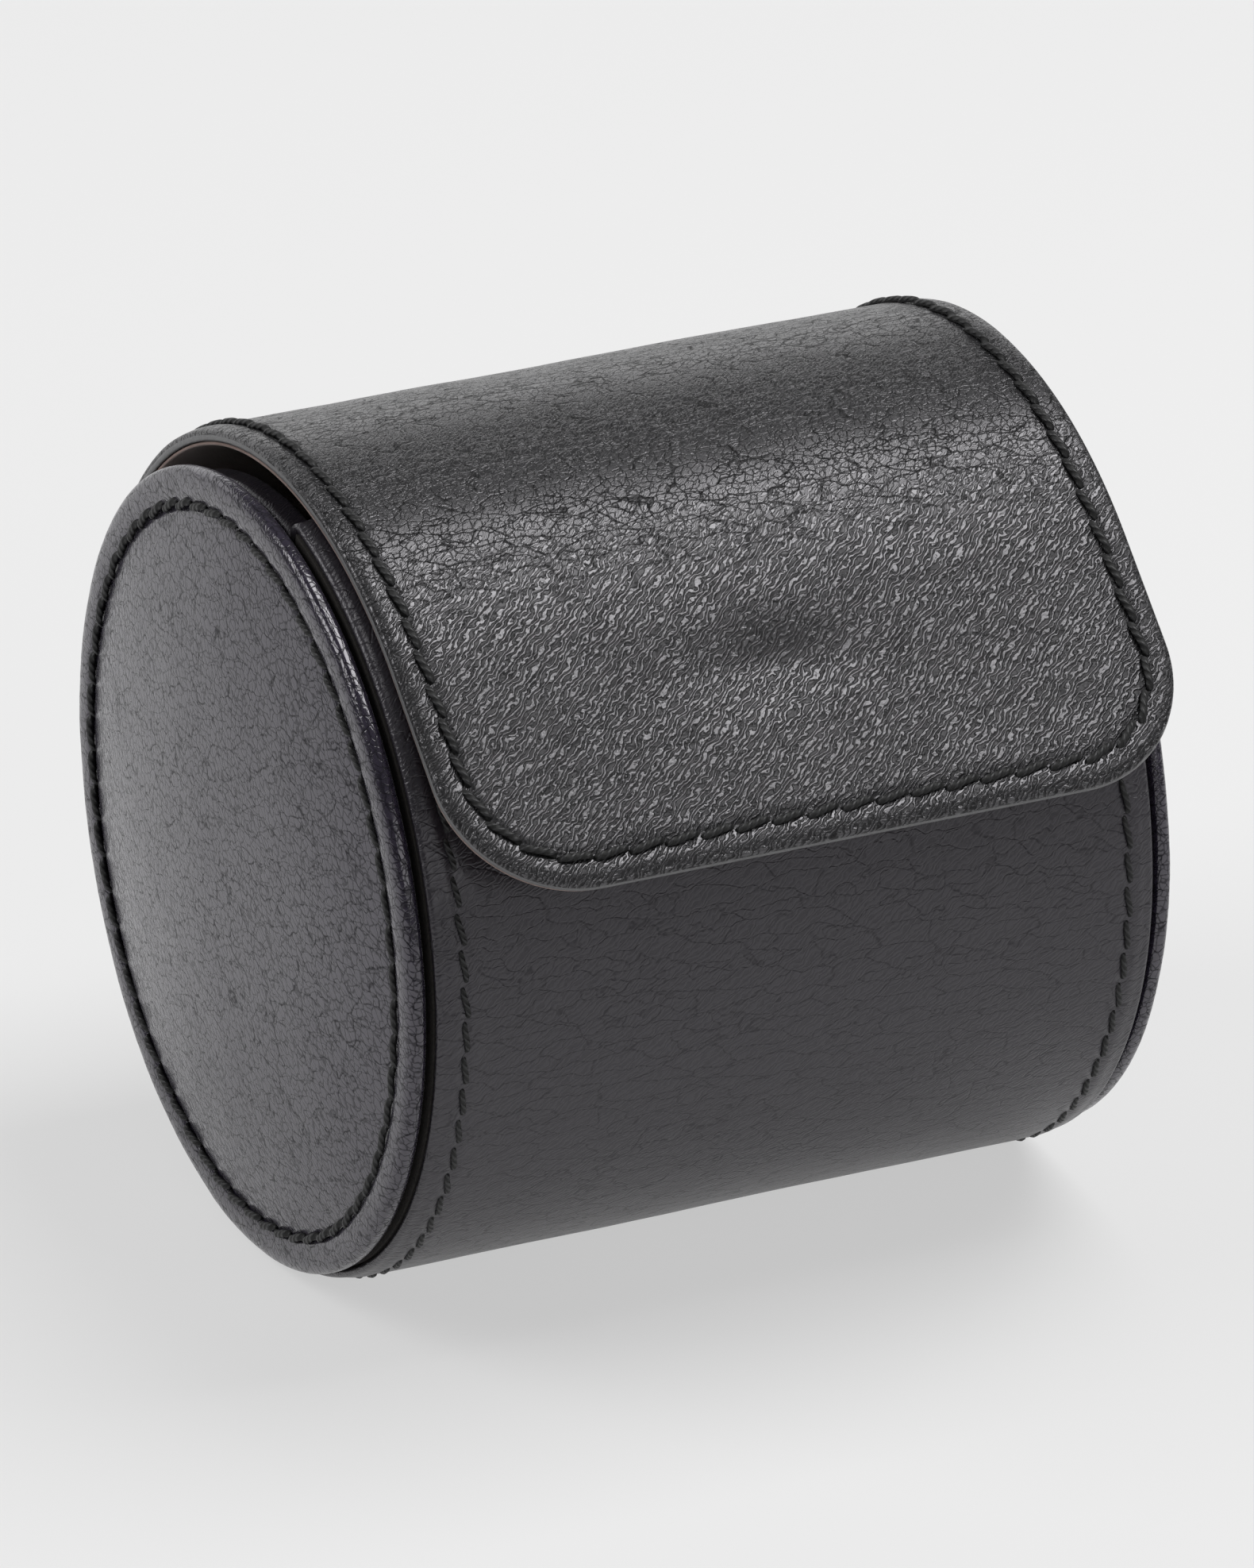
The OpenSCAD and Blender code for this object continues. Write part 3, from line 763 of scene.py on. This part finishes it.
def perimeter_path(s):
    """Place and direction along the row down one side, round the front and up the other."""
    if s > PERIMETER / 2:
        u, v, du, dv = perimeter_path(PERIMETER - s)
        return 2 * FLAP_MIDDLE - u, v, du, -dv
    if s < SIDE_LENGTH:
        return FLAP_MIDDLE - ROW_HALF, TAIL_SEAM - s, 0, -1
    s -= SIDE_LENGTH
    if s < CORNER_LENGTH:
        out = sin(s / ROW_CORNER)
        back = cos(s / ROW_CORNER)
        return FLAP_MIDDLE - CORNER_U - ROW_CORNER * back, CORNER_V - ROW_CORNER * out, out, -back
    return FLAP_MIDDLE - CORNER_U + s - CORNER_LENGTH, FLAP_FRONT + STITCH_INSET, 1, 0


def perimeter_along(u, v):
    """How far along that row the nearest point of it lies."""
    beside = np.abs(u - FLAP_MIDDLE)
    past_u = np.maximum(beside - CORNER_U, 0)
    past_v = np.maximum(CORNER_V - v, 0)
    front = np.minimum(beside, CORNER_U) + ROW_CORNER * np.arctan2(past_u, past_v)
    side = CORNER_U + CORNER_LENGTH + v - CORNER_V
    half = np.where(past_v > 0, front, side)
    return PERIMETER / 2 + np.where(u < FLAP_MIDDLE, -half, half)


def flap_rows(edge):
    """Places round the roll of the flap's rows, close round the front corners and at seams."""
    corner = FLAP_CORNER - edge
    turns = np.linspace(0, pi / 2, FLAP_CORNER_ROWS)
    front = FLAP_FRONT + edge + corner * (1 - np.cos(turns))
    cross = [CROSS_SEAM - SEAM_BAND, CROSS_SEAM + SEAM_BAND]
    stops = [front[-1], *cross, TAIL_SEAM - SEAM_BAND, FLAP_TAIL - edge]
    rest = lines(stops, [ROUND_STEP, SEAM_STEP, ROUND_STEP, SEAM_STEP])
    return np.concatenate([front[:-1], rest])


def flap_columns(edge):
    """Shares of the half width for the flap's columns, close at both sides."""
    half = FLAP_HALF - edge
    band = EDGE_BAND / half
    return lines([-1, band - 1, 1 - band, 1], [FINE_STEP / half, COARSE_STEP / half, FINE_STEP / half])


def flap_grid(edge, columns, end=inf):
    """Flat places of the flap's vertices, set in by an edge, and the outward way at its outer ones."""
    rows = flap_rows(edge)
    rows = rows[rows < end]
    corner = FLAP_CORNER - edge
    past = np.clip(CORNER_V - rows, 0, corner)
    half = CORNER_U + np.sqrt(np.maximum(corner ** 2 - past ** 2, 0))
    u = FLAP_MIDDLE + np.outer(half, columns)
    v = np.repeat(rows[:, None], len(columns), 1)
    out_u, out_v = square_normals(*u.shape)
    loop = edge_loop(*u.shape)
    beside = u.ravel()[loop] - FLAP_MIDDLE
    past_u = np.maximum(np.abs(beside) - CORNER_U, 0) * np.sign(beside)
    past_v = np.minimum(v.ravel()[loop] - CORNER_V, 0)
    size = np.maximum(np.hypot(past_u, past_v), TINY)
    in_front = past_v < -TINY
    return u, v, (np.where(in_front, past_u / size, out_u), np.where(in_front, past_v / size, out_v))


def bend_with_flap(piece):
    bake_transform(piece)


def flap_top(u, v):
    """Height of the flap's skin: sunk seams, a rounded edge, a dent and soft waves."""
    inset = flap_inset(u, v)
    across = u - FLAP_MIDDLE
    by_tail = np.hypot(np.abs(across) - ROW_HALF, v - TAIL_SEAM)
    from_row = np.where(v < TAIL_SEAM, np.abs(inset - STITCH_INSET), by_tail)
    top = FLAP_RADIUS - seam_sink(from_row, perimeter_along(u, v), PERIMETER)
    inner = smooth_step(ROW_HALF + CROSS_SEAM_FADE, ROW_HALF - CROSS_SEAM_FADE, np.abs(across))
    for seam in (CROSS_SEAM, TAIL_SEAM):
        top -= inner * seam_sink(np.abs(v - seam), across + ROW_HALF, 2 * ROW_HALF)
    top -= FLAP_EDGE_SINK * bell(inset - FLAP_EDGE, FLAP_EDGE)
    dent_u = (across - DENT_SHIFT) / DENT_WIDTH
    dent_v = (v - FLAP_BEND + MAGNET_HALF_HEIGHT) / DENT_HEIGHT
    top -= DENT_DEPTH * bell(np.hypot(dent_u, dent_v), 1)
    return top + waves(u, v, (0.1, 18, 4.5), (0.04, 6, 5.5))


def flap_bottom(u, v):
    """Height of the leather's inside: pockets for board and magnet, and a tail glued to the wrap."""
    inside = FLAP_RADIUS - FLAP_LEATHER
    tail_in = WRAP_RADIUS + GLUE_GAP
    bottom = inside + (tail_in - inside) * smooth_step(GLUED_FROM, GLUED_TO, v)
    board = (flap_inset(u, v) > FLAP_BOARD_INSET - BOARD_SLACK) & (v < CROSS_SEAM - BOARD_BEFORE_SEAM)
    bottom = np.where(board, inside + FLAP_BOARD + GLUE_GAP, bottom)
    beside_magnet = np.abs(u - FLAP_MIDDLE) < MAGNET_HALF_WIDTH + MAGNET_SLACK
    along_magnet = np.abs(v - FLAP_BEND) < MAGNET_HALF_HEIGHT + MAGNET_SLACK
    return np.where(beside_magnet & along_magnet, inside + MAGNET_THICKNESS + GLUE_GAP, bottom)


def flap_piece():
    """Leather of the flap, its hinge and its tail in one, with a bead of edge paint."""
    u, v, normals = flap_grid(FLAP_EDGE, flap_columns(FLAP_EDGE))
    rim = FLAP_RIM + FLAP_BEAD
    piece = sheet_piece("flap_leather", u, v, flap_top(u, v), flap_bottom(u, v), normals, rim, FLAP_EDGE,
                        on_flap, [flap_leather, leather_edge], edged=range(len(FLAP_RIM), len(rim)))
    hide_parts("flap_cover", "hinge_leather", "flap_tail")
    bend_with_flap(piece)


def flap_lining_piece():
    """Suede under the flap, cut flush with its edge and ending at the hinge."""
    u, v, normals = flap_grid(SUEDE_INSET + SUEDE_EDGE, lines([-1, 1], [0.04]), HINGE_START)
    low = WRAP_RADIUS + FLAP_CLEARANCE
    bottom = low + waves(u, v, (0.05, 9, 7.5))
    piece = sheet_piece("flap_suede", u, v, low + FLAP_SUEDE, bottom, normals, SUEDE_RIM, SUEDE_EDGE,
                        on_flap, [lining_suede])
    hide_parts("flap_lining")
    bend_with_flap(piece)


def flap_stitch_pieces():
    """Stitches round the flap's edge and tail, and the row across the flap."""
    chooser = random.Random(SEED + 1)

    def across_row(seam):
        return 2 * ROW_HALF, lambda s: (FLAP_MIDDLE - ROW_HALF + s, seam, 1, 0)

    rows = [(PERIMETER, perimeter_path), across_row(TAIL_SEAM)]
    edge_stitches = stitch_piece("flap_edge_stitches", rows, FLAP_RADIUS, on_flap, black_thread, chooser)
    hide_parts("flap_stitching", "tail_stitching")
    bend_with_flap(edge_stitches)
    seam = stitch_piece("flap_cross_stitches", [across_row(CROSS_SEAM)], FLAP_RADIUS, on_flap, black_thread,
                        chooser)
    stand_for(seam, "flap", "thread", "flap_cross_seam")


flap_piece()
flap_lining_piece()
flap_stitch_pieces()

# The end discs, in millimetres
PAD_RISE = 2.6
PAD_SWELL = 0.4
PAD_STOPS = (28, 33)
PAD_STEPS = (2.0, 0.8, 0.3)
DISC_FACE = DISC_HEIGHT - PAD_RISE
RING_RADIUS = DISC_RADIUS - 3.6
RING_LENGTH = 2 * pi * RING_RADIUS
RING_DROP = 0.3
GATHER_RADIUS = RING_RADIUS + 2
GATHER_WIDTH = 1.2
GATHER_STRETCH = 0.2
LIFT_FROM = DISC_FACE / 2 + 0.05
BEAD_REACH = 2.0
BEAD_HALF = DISC_FACE / 2 + 0.03
BEAD_SQUARENESS = 2 / 2.6
BEAD_STEPS = 30
TURN_IN = 0.45
TURN_IN_REACH = DISC_RADIUS - 7.0
BOARD_TOP = 1.05
BOARD_REACH = DISC_RADIUS - 1.0
SEGMENTS_PER_STITCH = 6
DISC_STITCH_SINK = 0.1


def pad_profile():
    """The padded face, from the disc's middle to its ring of stitches."""
    ring_height = DISC_FACE - RING_DROP
    distances = lines([0, *PAD_STOPS, RING_RADIUS], PAD_STEPS)
    out = distances / RING_RADIUS
    rise = 0.75 * (1 - out ** 2) + 0.25 * (1 - out ** 4)
    return np.stack([distances, ring_height + (DISC_HEIGHT + PAD_SWELL - ring_height) * rise], -1)


def bead_profile():
    """The rolled rim, from the ring of stitches over the outside to the back."""
    angles = np.radians(np.linspace(140, -90, BEAD_STEPS))
    out = np.sign(np.cos(angles)) * np.abs(np.cos(angles)) ** BEAD_SQUARENESS
    up = np.sign(np.sin(angles)) * np.abs(np.sin(angles)) ** BEAD_SQUARENESS
    return np.stack([DISC_RADIUS - BEAD_REACH + BEAD_REACH * out, BEAD_HALF * (1 + up)], -1)


def disc_profile():
    """Half section of a padded disc with its rolled rim and the slot that its board sits in."""
    fold = [(TURN_IN_REACH, 0.02), (TURN_IN_REACH - 0.1, TURN_IN / 2), (TURN_IN_REACH, TURN_IN)]
    slot = [(BOARD_REACH, TURN_IN), (BOARD_REACH, BOARD_TOP), (0, BOARD_TOP)]
    return np.concatenate([pad_profile(), bead_profile()[1:], fold, slot])


def disc_pieces(side, name):
    """A padded leather disc and its ring of stitches."""
    place = on_disc(side, RING_RADIUS)
    salt = 10 + side

    def lift(distance, turn, height):
        along = turn * RING_RADIUS
        sink = seam_sink(np.abs(distance - RING_RADIUS), along, RING_LENGTH)
        y = distance * np.sin(turn)
        z = distance * np.cos(turn)
        soft = waves(y, z, (0.12, 17, salt), (0.05, 6, salt + 0.5))
        on_rim = bell(distance - GATHER_RADIUS, GATHER_WIDTH)
        gathers = on_rim * waves(along, distance * GATHER_STRETCH, (0.05, 0.9, salt + 0.7))
        return np.where(height > LIFT_FROM, soft + gathers - sink, 0)

    segments = SEGMENTS_PER_STITCH * stitch_count(RING_LENGTH)
    cover = turned_piece(f"{name}_disc", disc_profile(), segments, place, [disc_leather], RING_RADIUS, lift)
    stand_for(cover, "case", "leather", f"{name}_end_cover", f"{name}_end_padding")

    def ring_path(s):
        return s, 0, 1, 0

    chooser = random.Random(SEED + 2 + side)
    stitches = stitch_piece(f"{name}_disc_stitches", [(RING_LENGTH, ring_path)], DISC_FACE - DISC_STITCH_SINK,
                            place, black_thread, chooser)
    stand_for(stitches, "case", "thread", f"{name}_end_stitching")


for disc_side, disc_name in SIDES:
    disc_pieces(disc_side, disc_name)


# Linings and bindings inside the case
LINING_SEGMENTS = 128


def case_lining_piece():
    """Suede in the bore, from the back edge round the bottom to the lip."""
    edge = LINING_SUEDE / 2
    outside = WRAP_RADIUS - WRAP_LEATHER - WALL_BOARD - 2 * GLUE_GAP
    along = lines([edge - CASE_LINING_HALF, CASE_LINING_HALF - edge], [COARSE_STEP])
    start = round_length(BACK_EDGE_ANGLE, WRAP_RADIUS) + edge
    end = round_length(LIP_ANGLE, WRAP_RADIUS) - edge
    u, v = np.meshgrid(along, lines([start, end], [COARSE_STEP]))
    bottom = outside - LINING_SUEDE + waves(u, v, (0.06, 8, 21.5))
    piece = sheet_piece("case_suede", u, v, outside, bottom, square_normals(*u.shape), SUEDE_RIM, edge,
                        on_roll(WRAP_RADIUS), [lining_suede])
    stand_for(piece, "case", "lining_suede", "body_lining")


def end_lining_piece(side, name):
    """Suede disc on the inside of an end, uneven on the face that shows."""
    radius = (end_lining_high.z - end_lining_low.z) / 2
    thickness = end_lining_high.x - end_lining_low.x
    back = end_lining_low.x - DISC_BACK
    half = thickness / 2
    distances = lines([0, radius - half], [WIDE_STEP])
    face = [(distance, back) for distance in distances]
    turns = np.radians(np.linspace(-70, 70, 6))
    rim = [(radius - half + half * cos(t), back + half + half * sin(t)) for t in turns]
    rear = [(distance, back + thickness) for distance in distances[::-1]]

    def lift(distance, turn, height):
        soft = waves(distance * np.sin(turn), distance * np.cos(turn), (0.05, 8, 25 + side))
        return np.where(height < back + half / 2, soft, 0)

    piece = turned_piece(f"{name}_end_suede", face + rim + rear, LINING_SEGMENTS, on_disc(side, radius),
                         [lining_suede], radius, lift)
    stand_for(piece, "case", "lining_suede", f"{name}_end_lining")


def binding_piece(side, name):
    """Leather strip over a plug's edge where the wall is open."""
    inside = PLUG_RADIUS + GLUE_GAP
    outside = binding_high.z - AXIS_HEIGHT
    edge = (outside - inside) / 2
    near, far = sorted((side * binding_low.x, side * binding_high.x))
    along = lines([near + edge, far - edge], [0.4])
    start = round_length(LIP_ANGLE - FULL_TURN, WRAP_RADIUS) + edge
    end = round_length(BACK_EDGE_ANGLE, WRAP_RADIUS) - edge
    u, v = np.meshgrid(along, lines([start, end], [0.8]))
    top = outside + waves(u, v, (0.06, 4, 31 + side))
    piece = sheet_piece(f"{name}_binding", u, v, top, inside, square_normals(*u.shape), LEATHER_RIM, edge,
                        on_roll(WRAP_RADIUS), [roll_leather])
    stand_for(piece, "case", "leather", f"{name}_end_binding")


case_lining_piece()
for end_side, end_name in SIDES:
    end_lining_piece(end_side, end_name)
    binding_piece(end_side, end_name)

# The watch cushion, in millimetres
CUSHION_SHRINK = 0.9
CUSHION_VOXEL = 1.2
HELD_REACH = 1.5 * CUSHION_VOXEL
CUSHION_SEGMENTS = 120
CLOTH_FRAMES = 20
PIPING_AROUND = 180
PIPING_SIDES = 10
PIPING_GATHERS = 45


def cushion_profile():
    """Half section of the stuffed cushion, from left to right. Its edges lie inside the piping."""
    end = CUSHION_END - CUSHION_SHRINK / 2
    crown = CUSHION_RADIUS - CUSHION_SHRINK
    drawn = crown - PIPING_RING
    sleeve = lines([-PIPING_PLACE, PIPING_PLACE], [WIDE_STEP])
    body = [(crown - drawn * abs(x / PIPING_PLACE) ** 3.2, x) for x in sleeve]
    shares = np.linspace(0, 0.96, 14)
    caps = [(PIPING_RING * share, end - (end - PIPING_PLACE) * share ** 3) for share in shares]
    left = [(distance, -x) for distance, x in caps]
    return left + body + caps[::-1]


def hold_seams(piece):
    """Groups the vertices near the two sewn ends and gives that group's name."""
    held = piece.vertex_groups.new(name="sewn")
    for vertex in piece.data.vertices:
        x, y, z = vertex.co / MM
        off_ring = hypot(y, z - CUSHION_HEIGHT) - PIPING_RING
        if hypot(abs(x) - PIPING_PLACE, off_ring) < HELD_REACH:
            held.add([vertex.index], 1.0, "REPLACE")
    return held.name


def run_cloth(piece, held):
    """Runs the piece as cloth under pressure, with a group held, and applies the result."""
    cloth = piece.modifiers.new("cloth", "CLOTH")
    settings = cloth.settings
    settings.vertex_group_mass = held
    settings.use_pressure = True
    settings.uniform_pressure_force = 4
    settings.effector_weights.gravity = 0
    settings.quality = 6
    settings.mass = 0.05
    settings.tension_stiffness = 12
    settings.compression_stiffness = 12
    settings.bending_stiffness = 0.4
    cloth.point_cache.frame_end = CLOTH_FRAMES
    for number in range(1, CLOTH_FRAMES + 1):
        bpy.context.scene.frame_set(number)
    bpy.ops.object.modifier_apply(modifier=cloth.name)
    bpy.context.scene.frame_set(1)


def swell_cushion(piece):
    """Blows the cushion up as cloth and keeps every point near its start."""
    bpy.context.view_layer.objects.active = piece
    remesh = piece.modifiers.new("remesh", "REMESH")
    remesh.mode = "VOXEL"
    remesh.voxel_size = CUSHION_VOXEL * MM
    bpy.ops.object.modifier_apply(modifier=remesh.name)
    start = np.array([vertex.co for vertex in piece.data.vertices])
    run_cloth(piece, hold_seams(piece))
    moved = np.array([vertex.co for vertex in piece.data.vertices]) - start
    far = np.linalg.norm(moved, axis=1, keepdims=True)
    moved *= np.minimum(1, CUSHION_SHRINK * MM / np.maximum(far, TINY * MM))
    piece.data.vertices.foreach_set("co", (start + moved).astype(np.float32).ravel())
    grain = piece.data.attributes.get("flat") or piece.data.attributes.new("flat", "FLOAT_VECTOR", "POINT")
    grain.data.foreach_set("vector", (start / MM).astype(np.float32).ravel())
    piece.data.shade_smooth()


def cushion_piece():
    """Stuffed suede cushion that a watch strap goes round."""
    piece = turned_piece("watch_cushion", cushion_profile(), CUSHION_SEGMENTS, on_cushion, [cushion_suede],
                         CUSHION_RADIUS)
    swell_cushion(piece)
    smooth = piece.modifiers.new("smooth", "SUBSURF")
    smooth.levels = 1
    smooth.render_levels = 1
    stand_for(piece, "cushion", "cushion_suede", "cushion_core", "cushion_cover", "cushion_left_end",
              "cushion_right_end")


def piping_piece(side, name):
    """Corded seam round one end of the cushion, gathered a little by its stitches."""
    turn = whole_turn(PIPING_AROUND)[:, None]
    section = whole_turn(PIPING_SIDES)[None, :]
    gathers = PIPING_RADIUS * (1 - 0.06 * np.cos(turn * PIPING_GATHERS) ** 2)
    reach = PIPING_RING + gathers * np.cos(section)
    x = side * PIPING_PLACE + gathers * np.sin(section)
    points = np.stack([x, reach * np.sin(turn), CUSHION_HEIGHT + reach * np.cos(turn)], -1)
    corner = np.arange(PIPING_AROUND * PIPING_SIDES).reshape(-1, PIPING_SIDES)
    faces = ring_faces(np.concatenate([corner, corner[:1]]))
    piece = new_piece(f"{name}_cushion_piping", points, points, faces, [cushion_suede])
    stand_for(piece, "cushion", "cushion_suede", f"cushion_{name}_seam")


cushion_piece()
for piping_side, piping_name in SIDES:
    piping_piece(piping_side, piping_name)

# Boards and magnets that stay as the frame gives them
for node_name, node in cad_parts.items():
    node.data.materials.clear()
    node.data.materials.append(magnet_casing if "magnet" in node_name else dark_board)

# Floor and light, in metres and watts: each lamp's place, width, height and power
FLOOR_WIDTH = 6.0
FLOOR_GLOW = 0.53
SKY_LIGHT = 0.12
LAMPS = {
    "overhead": ((0.42, -0.04, 0.88), 0.66, 0.66, 8.0),
    "front_fill": ((0.2, -1.2, 0.5), 1.1, 0.5, 2.2),
    "left_fill": ((-0.85, 0.3, 0.75), 0.8, 0.6, 6.2),
    "back_panel": ((0.1, 1.2, 0.33), 2.0, 0.5, 3.4),
}


def plane(name, width, material):
    half = width / 2
    corners = [(-half, -half, 0), (half, -half, 0), (half, half, 0), (-half, half, 0)]
    mesh = bpy.data.meshes.new(name)
    mesh.from_pydata(corners, [], [(0, 1, 2, 3)])
    mesh.materials.append(material)
    return new_object(name, mesh)


def softbox(name, place, width, height, power):
    """A soft lamp that faces the roll's middle."""
    lamp = bpy.data.lights.new(name, "AREA")
    lamp.shape = "RECTANGLE"
    lamp.size = width
    lamp.size_y = height
    lamp.energy = power
    made = new_object(name, lamp)
    made.location = place
    ahead = Vector((0, 0, AXIS_HEIGHT * MM)) - made.location
    made.rotation_euler = ahead.to_track_quat("-Z", "Y").to_euler()


def studio():
    """Pale floor, soft lamps and a little light from all round."""
    floor = studio_floor("studio_floor", opaque(0.8, 0.8, 0.8), opaque(0.28, 0.28, 0.28), FLOOR_GLOW)
    plane("floor", FLOOR_WIDTH, floor)
    for name, (place, width, height, power) in LAMPS.items():
        softbox(name, place, width, height, power)
    world = bpy.data.worlds.new("studio")
    world.use_nodes = True
    back = world.node_tree.nodes["Background"]
    back.inputs["Color"].default_value = WHITE
    back.inputs["Strength"].default_value = SKY_LIGHT
    bpy.context.scene.world = world
    bpy.context.scene.view_settings.view_transform = "Standard"


# The photograph's view, from a fit of the roll's outline, in degrees, millimetres and its own pixels
PHOTO_HEIGHT = 1975
VIEW_AZIMUTH = -25.4
VIEW_ELEVATION = 24.555
VIEW_DISTANCE = 1346
VIEW_FOCUS = 17686.9
VIEW_RIGHT = 0.849
VIEW_UP = 1.251
SENSOR = 36
NEAREST_SEEN = 50


def camera():
    turn = radians(VIEW_AZIMUTH)
    tilt = radians(VIEW_ELEVATION)
    back = Vector((sin(turn) * cos(tilt), -cos(turn) * cos(tilt), sin(tilt)))
    right = Vector((cos(turn), sin(turn), 0))
    up = back.cross(right)
    target = Vector((0, 0, AXIS_HEIGHT)) + right * VIEW_RIGHT + up * VIEW_UP
    lens = bpy.data.cameras.new("photo_view")
    lens.sensor_width = SENSOR
    lens.lens = VIEW_FOCUS * SENSOR / PHOTO_HEIGHT
    lens.clip_start = NEAREST_SEEN * MM
    made = new_object("photo_view", lens)
    made.location = (target + back * VIEW_DISTANCE) * MM
    made.rotation_mode = "QUATERNION"
    made.rotation_quaternion = (-back).to_track_quat("-Z", "Y")
    bpy.context.scene.camera = made


studio()
camera()
